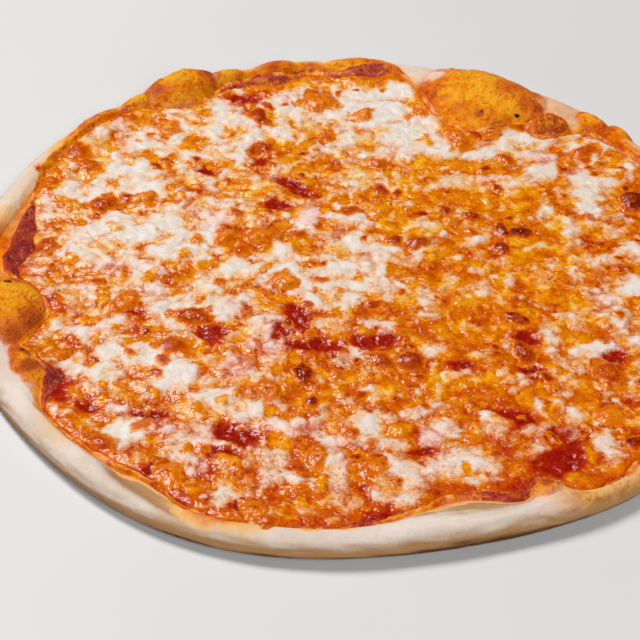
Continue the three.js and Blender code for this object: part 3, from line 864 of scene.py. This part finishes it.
def paint_dough(piece, x, y, z):
    """Stain, browned side with its painted shade, and char of the dough, and its puffed, brown and golden
    places.
    """
    at = np.degrees(np.arctan2(y, x)) % 360
    reach = np.hypot(x, y)
    beyond = reach - sauce_radius(at)
    wobble = 0.3 * layered(x, y, 11, 741, 3)
    glaze = step(3.4, 0.6, beyond + 2.6 * layered(x, y, 9, 711, 3))
    baked = np.clip(swell_at(at, BAKED_STRETCHES), 0, 1)
    crestward = beyond / rim_width(at) + 0.35 * layered(x, y, 12, 712, 2)
    stain = np.maximum(glaze * 0.75, baked * step(1.0, 0.1, crestward))
    golden = np.clip(swell_at(at, GOLDEN_STRETCHES), 0, 1)
    char = spots(x, y, CHAR_SPOTS, 1.0, 0.3, 0.5 * noise(x, y, 2.0, 731))
    # the foot and the underside have none of the top's stains, and the underside is baked in soft patches
    above = step(1.5, 4.5, z)
    under = step(1.2, 0.2, z) * step(-1.0, 3.0, crest_at(at) - reach)
    side_brown_and_shade = browned_and_shaded_side(at, reach, beyond, z) * (1 - 0.75 * under)
    golden = golden * (1 - under) + under * np.clip(0.48 + 0.5 * layered(x, y, 46, 781, 2), 0, 1)
    # the second channel of the bake attribute holds the side's brown together with its painted shade
    paint(piece, "bake", stain * above, side_brown_and_shade, char * above)
    paint(piece, "skin", puffed_places(x, y, wobble) * above, brown_places(x, y, wobble) * above, golden)


def spots(x, y, places, end, start, wobble):
    """Round spots that fade from one share of their radius to another, with shaken edges."""
    total = np.zeros_like(x)
    for px, py, size, amount in places:
        share = np.hypot(x - px, y - py) / size + wobble
        total = np.maximum(total, amount * step(end, start, share))
    return total


def puffed_places(x, y, wobble):
    """1 on the puffed bubbles, less on their floury places, and 0 away from them."""
    puffed = np.zeros_like(x)
    for name, bubble in BUBBLES.items():
        share = ellipse_share(x, y, *bubble[:3]) + wobble
        golden = 0.75 * step(1.25, 0.8, share) + 0.25 * step(0.75, 0.15, share)
        puffed = np.maximum(puffed, BUBBLE_GLOW.get(name, 1.0) * golden)
    return puffed * (1 - 0.85 * spots(x, y, FLOURED_SPOTS, 1.2, 0.3, wobble))


def brown_places(x, y, wobble):
    """The browned places, the outward half of some bubbles, and the crinkled blister, whose wrinkle hollows
    carry painted shade.
    """
    ragged = 0.35 * layered(x, y, 6, 742, 3) + 0.5 * wobble
    brown = spots(x, y, BROWN_SPOTS, 1.25, 0.1, ragged)
    for name in OUTWARD_BROWN:
        at, size, turn, _, _ = BUBBLES[name]
        outward = (np.hypot(x, y) - math.hypot(*at)) / size[1]
        share = ellipse_share(x, y, at, size, turn) + ragged
        brown = np.maximum(brown, 0.5 * step(0.0, 0.9, outward + ragged) * step(1.3, 1.0, share))
    # the crinkled blister is browner in the hollows of its wrinkles and paler on their crests: partly its own
    # browning, partly painted shade
    share = ellipse_share(x, y, *BUBBLES["crinkled"][:3]) + 0.1 * noise(x, y, 4, 771)
    return np.maximum(brown, (0.62 - 0.8 * wrinkles(x, y)) * step(1.08, 0.9, share))


def browned_and_shaded_side(at, reach, beyond, z):
    """Brown of the rim's side, darker toward the foot, partly baking and partly painted shade, with lines
    along it and painted shade in its deep fold.
    """
    side_brown_and_shade = np.clip(1 - z / RIM_SHADE_HEIGHT, 0, 1) * (beyond > 2)
    lines = noise(np.radians(at) * PIZZA_RADIUS / 14, z + 0.3 * beyond, 1.1, 761)
    browner = side_brown_and_shade * (0.78 + swell_at(at, SIDE_BROWNING_AND_SHADE))
    side_brown_and_shade = np.clip(browner + 0.2 * lines * step(0.02, 0.2, side_brown_and_shade), 0, 1)
    # painted shade along the deep fold at the front left, where the rim's inner slope lies in shade
    inside, middle = along_crease(RIM_CREASES[0], at)
    return np.maximum(side_brown_and_shade, 0.58 * inside * bell(reach - (middle - 0.5), 4.2))


# ---- materials

def srgb(r, g, b):
    """A display colour from 0 to 255 as the linear values that the shader takes."""
    def linear(c):
        c /= 255
        return c / 12.92 if c <= 0.04045 else ((c + 0.055) / 1.055) ** 2.4
    return (linear(r), linear(g), linear(b), 1)


class Nodes:
    """Short names for building the nodes of a material or of the room."""

    def __init__(self, owner, shader="Principled BSDF"):
        owner.use_nodes = True
        self.owner = owner
        self.tree = owner.node_tree
        self.shader = self.tree.nodes[shader]
        self.coordinates = self.tree.nodes.new("ShaderNodeTexCoord").outputs

    def feed(self, node, sockets):
        """Sets a node's inputs to values, or links them to other nodes' outputs."""
        for name, value in sockets.items():
            if isinstance(value, (int, float, tuple)):
                node.inputs[name].default_value = value
            else:
                self.tree.links.new(value, node.inputs[name])

    def new(self, kind, sockets, **settings):
        node = self.tree.nodes.new(kind)
        for key, value in settings.items():
            setattr(node, key, value)
        self.feed(node, sockets)
        return node

    def attribute(self, name):
        node = self.new("ShaderNodeAttribute", {}, attribute_name=name)
        split = self.new("ShaderNodeSeparateColor", {"Color": node.outputs["Color"]})
        return split.outputs["Red"], split.outputs["Green"], split.outputs["Blue"]

    def noise(self, size_mm, detail, rough, warp=0.0):
        sockets = {"Vector": self.coordinates["Object"], "Scale": 1 / (size_mm * MM)}
        sockets |= {"Detail": detail, "Roughness": rough, "Distortion": warp}
        return self.new("ShaderNodeTexNoise", sockets).outputs["Fac"]

    def maths(self, operation, *values):
        return self.new("ShaderNodeMath", dict(enumerate(values)), operation=operation).outputs["Value"]

    def plus(self, first, *others):
        for other in others:
            first = self.maths("ADD", first, other)
        return first

    def times(self, first, second):
        return self.maths("MULTIPLY", first, second)

    def lumps(self, size_mm, drift_mm):
        """Uneven lumps with creases between them, from about 0 to 1."""
        place = self.coordinates["Object"]
        drift = self.new("ShaderNodeTexNoise", {"Vector": place, "Scale": 1 / (2 * size_mm * MM)})
        shift = {"Vector": drift.outputs["Color"], "Scale": drift_mm * MM}
        scaled = self.new("ShaderNodeVectorMath", shift, operation="SCALE")
        ends = {0: place, 1: scaled.outputs["Vector"]}
        moved = self.new("ShaderNodeVectorMath", ends, operation="ADD")
        spots = {"Vector": moved.outputs["Vector"], "Scale": 1 / (size_mm * MM)}
        return self.maths("SUBTRACT", 1.0, self.new("ShaderNodeTexVoronoi", spots).outputs["Distance"])

    def ramp(self, value, stops):
        """A colour between fixed ones, each with its place from 0 to 1."""
        node = self.new("ShaderNodeValToRGB", {"Fac": value})
        elements = node.color_ramp.elements
        while len(elements) < len(stops):
            elements.new(0.5)
        for element, (place, *colour) in zip(elements, stops):
            element.position = place
            element.color = srgb(*colour)
        return node.outputs["Color"]

    def band(self, value, low, high, to_low=0.0, to_high=1.0):
        """From to_low to to_high as the value goes from low to high, smoothly."""
        sockets = {"Value": value, "From Min": low, "From Max": high, "To Min": to_low, "To Max": to_high}
        return self.new("ShaderNodeMapRange", sockets, interpolation_type="SMOOTHSTEP").outputs["Result"]

    def mix(self, share, low, high, blend="MIX"):
        sockets = {"Factor": share, "A": low, "B": high}
        return self.new("ShaderNodeMix", sockets, data_type="RGBA", blend_type=blend).outputs["Result"]

    def bump(self, height, strength, distance_mm):
        sockets = {"Strength": strength, "Distance": distance_mm * MM, "Height": height}
        return self.new("ShaderNodeBump", sockets).outputs["Normal"]


# colours along ramps: place, red, green, blue. The ground goes from sauce red to yellow oil, cream and pink
# are the cheese over it, and toast is the browning of blisters
GROUND_STOPS = [
    (0, 150, 18, 8), (0.18, 172, 36, 8), (0.34, 194, 68, 6), (0.50, 213, 100, 3), (0.64, 229, 130, 3),
    (0.80, 242, 160, 12), (1, 249, 192, 60),
]
CREAM_STOPS = [(0.30, 237, 204, 154), (0.55, 231, 210, 189), (0.75, 228, 217, 206), (0.90, 230, 225, 219)]
PINK_STOPS = [(0.30, 236, 178, 156), (0.55, 238, 198, 184), (0.75, 237, 212, 201), (0.90, 238, 222, 215)]
TOAST_STOPS = [
    (0, 243, 160, 40), (0.25, 236, 140, 18), (0.45, 222, 112, 6), (0.62, 202, 84, 5), (0.78, 172, 56, 6),
    (0.90, 130, 34, 6), (1, 86, 20, 6),
]
PUFF_STOPS = [(0, 192, 70, 4), (0.3, 226, 108, 2), (0.65, 247, 146, 4), (1, 254, 176, 34)]
BROWN_STOPS = [(0, 234, 122, 8), (0.5, 212, 94, 18), (1, 172, 78, 26)]
GOLDEN_STOPS = [(0.3, 196, 122, 48), (0.7, 234, 172, 100)]
# shade colour painted into the creases of the cheese
CREASE_SHADE = srgb(196, 150, 120)
# deep red of the sauce's mottling and of the shade painted in its hollows
DEEP_RED = srgb(112, 6, 8)
# pink of the highlights painted on the wet sauce
PAINTED_SAUCE_HIGHLIGHT = srgb(222, 104, 84)
FLOUR = srgb(231, 216, 205)
DOUGH_PALE = srgb(219, 200, 184)
# tan and brown of the rim's side toward its foot, partly baking and partly painted shade
SIDE_TAN_AND_SHADE = srgb(178, 134, 90)
SIDE_BROWN_AND_SHADE = srgb(96, 58, 26)
DOUGH_GOLD = srgb(234, 184, 120)
SPECK = srgb(172, 78, 26)
CHARRED = srgb(50, 26, 16)
FLOOR_GREYS = (srgb(214, 214, 214), srgb(220, 220, 220))


def translucent(weight, radius):
    return {"Subsurface Weight": weight, "Subsurface Radius": radius, "Subsurface Scale": 1.0}


def cheese_material():
    n = Nodes(bpy.data.materials.new("melted_cheese"))
    cover, hue, pink = n.attribute("melt")
    toast = n.attribute("toast")[0]
    fine = n.noise(1.3, 2, 0.5, 0.3)
    mid = n.noise(3.0, 2, 0.5, 0.8)
    jitter = n.plus(fine, mid, -1.0)

    def shaken(value, amount):
        return n.plus(value, n.times(jitter, amount))

    def threads(size_mm, width):
        """Thin curving lines, 1 on them and 0 away from them."""
        offset = n.maths("ABSOLUTE", n.plus(n.noise(size_mm, 1, 0.5, 1.2), -0.5))
        return n.band(offset, 0.0, width, 1.0, 0.0)

    lumps = n.lumps(3.4, 2.4)
    amount = n.plus(shaken(cover, 0.13), n.times(n.plus(lumps, -0.5), 0.07))
    amount = n.plus(amount, n.times(threads(5.5, 0.07), 0.08), n.times(threads(4.3, 0.06), -0.07))
    white = n.band(amount, 0.29, 0.7)
    shade = n.plus(shaken(hue, 0.28), n.band(amount, 0.2, 0.46, 0.0, 0.16))
    milk = n.mix(n.band(shaken(pink, 0.8), 0.2, 0.8), n.ramp(amount, CREAM_STOPS), n.ramp(amount, PINK_STOPS))
    colour = n.mix(white, n.ramp(shade, GROUND_STOPS), milk)
    browned = shaken(toast, 0.5)
    colour = n.mix(n.band(browned, 0.06, 0.42), colour, n.ramp(browned, TOAST_STOPS))
    # painted shade: the colour is multiplied toward the crease shade in the creases between the lumps and
    # where the noise is low, less on white cheese
    crease = n.plus(n.times(lumps, 0.6), mid, n.times(fine, 0.5))
    crease = n.times(n.band(crease, 0.75, 1.15, 0.34, 0.0), n.band(white, 0.4, 0.95, 1.0, 0.4))
    relief = n.plus(n.times(fine, 0.35), n.noise(2.4, 1, 0.5, 0.6), mid, n.times(lumps, 0.6))
    n.feed(n.shader, {
        "Base Color": n.mix(crease, colour, CREASE_SHADE, "MULTIPLY"),
        "Roughness": n.band(white, 0.15, 0.85, 0.2, 0.5),
        "Specular IOR Level": 0.27,
        **translucent(0.08, (0.002, 0.0009, 0.0004)),
        "Normal": n.bump(relief, n.band(white, 0.2, 0.9, 0.8, 0.36), 0.5),
    })
    return n.owner


def sauce_material():
    n = Nodes(bpy.data.materials.new("tomato_sauce"))
    rimward, tone, baked = n.attribute("wet")
    fine = n.noise(1.4, 4, 0.6)
    mid = n.noise(3.5, 2, 0.5, 0.8)
    jitter = n.plus(fine, -0.5)
    mottled = n.times(n.band(n.plus(tone, jitter), 0.1, 1.0), 0.36)
    oily = n.times(n.band(n.plus(rimward, jitter), 0.1, 0.9), 0.42)
    amber = n.times(n.band(n.times(baked, tone), 0.1, 0.9), 0.36)
    colour = n.ramp(n.plus(mottled, oily, amber), GROUND_STOPS)
    # darker deep red where the noise is low, which is also where the bump's hollows are: partly the sauce's
    # own mottling, partly painted shade in its hollows
    deep_red_and_hollow_shade = n.band(n.plus(fine, mid), 0.8, 1.1, 0.5, 0.0)
    colour = n.mix(n.times(deep_red_and_hollow_shade, n.band(rimward, 0.0, 0.6, 1.0, 0.0)), colour, DEEP_RED)
    # painted highlights: pink flecks where a noise peaks stand in for glints on the wet sauce, fainter toward
    # the rim
    painted_highlights = n.band(n.noise(2.4, 2, 0.6, 0.4), 0.54, 0.68, 0.0, 0.55)
    n.feed(n.shader, {
        "Base Color": n.mix(n.times(painted_highlights, n.band(rimward, 0.2, 0.8, 1.0, 0.2)), colour, PAINTED_SAUCE_HIGHLIGHT),
        "Roughness": 0.28,
        "Specular IOR Level": 0.42,
        "Normal": n.bump(n.plus(n.times(fine, 1.5), mid), n.band(rimward, 0.0, 0.7, 1.0, 0.3), 1.3),
    })
    return n.owner


def dough_material():
    n = Nodes(bpy.data.materials.new("baked_dough"))
    stain, side_brown_and_shade, char = n.attribute("bake")
    puffed, brown, gold = n.attribute("skin")
    fine = n.noise(0.9, 4, 0.65)
    mid = n.noise(3.2, 4, 0.6, 0.5)
    slow = n.noise(14.0, 4, 0.55)
    jitter = n.plus(fine, mid, -1.0)

    def shaken(value, amount):
        return n.plus(value, n.times(jitter, amount))

    patchy = n.plus(n.times(mid, 0.7), n.times(fine, 0.2), n.times(slow, 0.8))
    golden = n.ramp(n.band(n.plus(patchy, n.band(puffed, 0.7, 1.0, 0.0, 0.2)), 0.6, 1.15), PUFF_STOPS)
    colour = n.mix(n.band(shaken(slow, 0.2), 0.32, 0.68), DOUGH_PALE, FLOUR)
    for field, amount, low, high, over in (
        (gold, 0.5, 0.1, 0.9, n.ramp(n.plus(mid, jitter), GOLDEN_STOPS)),
        # the side darkens to tan and then brown toward the foot: partly baking, partly painted shade
        (side_brown_and_shade, 0.18, 0.02, 0.52, SIDE_TAN_AND_SHADE),
        (side_brown_and_shade, 0.14, 0.55, 0.92, SIDE_BROWN_AND_SHADE),
        (stain, 0.4, 0.02, 0.45, DOUGH_GOLD),
        (stain, 0.4, 0.35, 0.95, golden),
        (puffed, 0.5, 0.1, 0.8, golden),
        (brown, 0.8, 0.15, 0.75, n.ramp(shaken(brown, 0.8), BROWN_STOPS)),
    ):
        colour = n.mix(n.band(shaken(field, amount), low, high), colour, over)
    specks = n.times(n.band(puffed, 0.3, 0.8), n.band(n.noise(2.6, 1, 0.5), 0.31, 0.26))
    colour = n.mix(n.times(specks, 0.6), colour, SPECK)
    pits = n.band(n.noise(2.2, 1, 0.5), 0.28, 0.42)
    relief = n.plus(fine, n.times(mid, 1.6), pits)
    n.feed(n.shader, {
        "Base Color": n.mix(n.band(shaken(char, 0.5), 0.4, 0.7), colour, CHARRED),
        "Roughness": n.band(n.maths("MAXIMUM", stain, puffed), 0.2, 0.9, 0.85, 0.36),
        "Specular IOR Level": 0.1,
        **translucent(0.06, (0.003, 0.0016, 0.0008)),
        "Normal": n.bump(relief, n.band(puffed, 0.2, 0.8, 0.25, 1.0), 0.65),
    })
    return n.owner


def floor_material():
    n = Nodes(bpy.data.materials.new("pale_floor"))
    n.feed(n.shader, {"Base Color": n.mix(n.noise(90, 3, 0.5), *FLOOR_GREYS), "Roughness": 0.6})
    return n.owner


def dress(piece, material, node):
    piece.data.materials.append(material)
    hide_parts(node)
    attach(piece, "root")


dress(make_crust(), dough_material(), "crust")
dress(make_sauce(), sauce_material(), "tomato_sauce")
dress(make_cheese(), cheese_material(), "melted_cheese")


# ---- floor, light and camera

FLOOR_HALF = 6.0

# the room brightens from one height of the view to another, from one level to another
ROOM_HEIGHTS = (0.6, 0.95)
ROOM_LEVELS = (0.03, 0.5)

# the camera looks away along +Y and down, at the framing that the pizza was seen with
CAMERA_DOWN = 40.7
CAMERA_ROLL = 0.78
CAMERA_DISTANCE = 563.4
CAMERA_AIM = (-11.5, -37.9, 8.0)
CAMERA_SENSOR = 36.0
CAMERA_LENS = 84.375
CAMERA_NEAR = 0.01


def make_floor():
    corners = [(FLOOR_HALF * x, FLOOR_HALF * y, 0) for x, y in ((-1, -1), (1, -1), (1, 1), (-1, 1))]
    floor = place_mesh("floor", corners, [(0, 1, 2, 3)])
    floor.data.materials.append(floor_material())


def area_light(name, at, size, power, colour):
    """A round soft light that aims at the middle of the floor, in metres and watts."""
    light = bpy.data.lights.new(name, "AREA")
    light.shape = "DISK"
    light.size = size
    light.energy = power
    light.color = colour
    lamp = place(name, light)
    lamp.location = at
    lamp.rotation_mode = "QUATERNION"
    lamp.rotation_quaternion = (-Vector(at)).to_track_quat("-Z", "Y")


def make_camera():
    tilt = Matrix.Rotation(math.radians(90 - CAMERA_DOWN), 4, "X")
    roll = Matrix.Rotation(math.radians(CAMERA_ROLL), 4, "Z")
    away = Matrix.Translation((0, 0, CAMERA_DISTANCE * MM))
    camera = place("camera", bpy.data.cameras.new("camera"))
    camera.data.sensor_width = CAMERA_SENSOR
    camera.data.lens = CAMERA_LENS
    camera.data.clip_start = CAMERA_NEAR
    camera.matrix_world = Matrix.Translation(Vector(CAMERA_AIM) * MM) @ tilt @ roll @ away
    bpy.context.scene.camera = camera


def make_world():
    """A dim room, bright overhead."""
    world = bpy.data.worlds.new("soft_room")
    n = Nodes(world, "Background")
    up = n.new("ShaderNodeSeparateXYZ", {"Vector": n.coordinates["Generated"]}).outputs["Z"]
    n.feed(n.shader, {"Strength": n.band(up, *ROOM_HEIGHTS, *ROOM_LEVELS)})
    bpy.context.scene.world = world


make_floor()
make_world()
area_light("window", at=(-0.95, 1.05, 1.85), size=0.8, power=48, colour=(1.0, 0.98, 0.96))
area_light("fill", at=(0.4, -1.5, 1.4), size=1.4, power=26, colour=(1, 1, 1))
make_camera()
bpy.context.scene.view_settings.view_transform = "Standard"
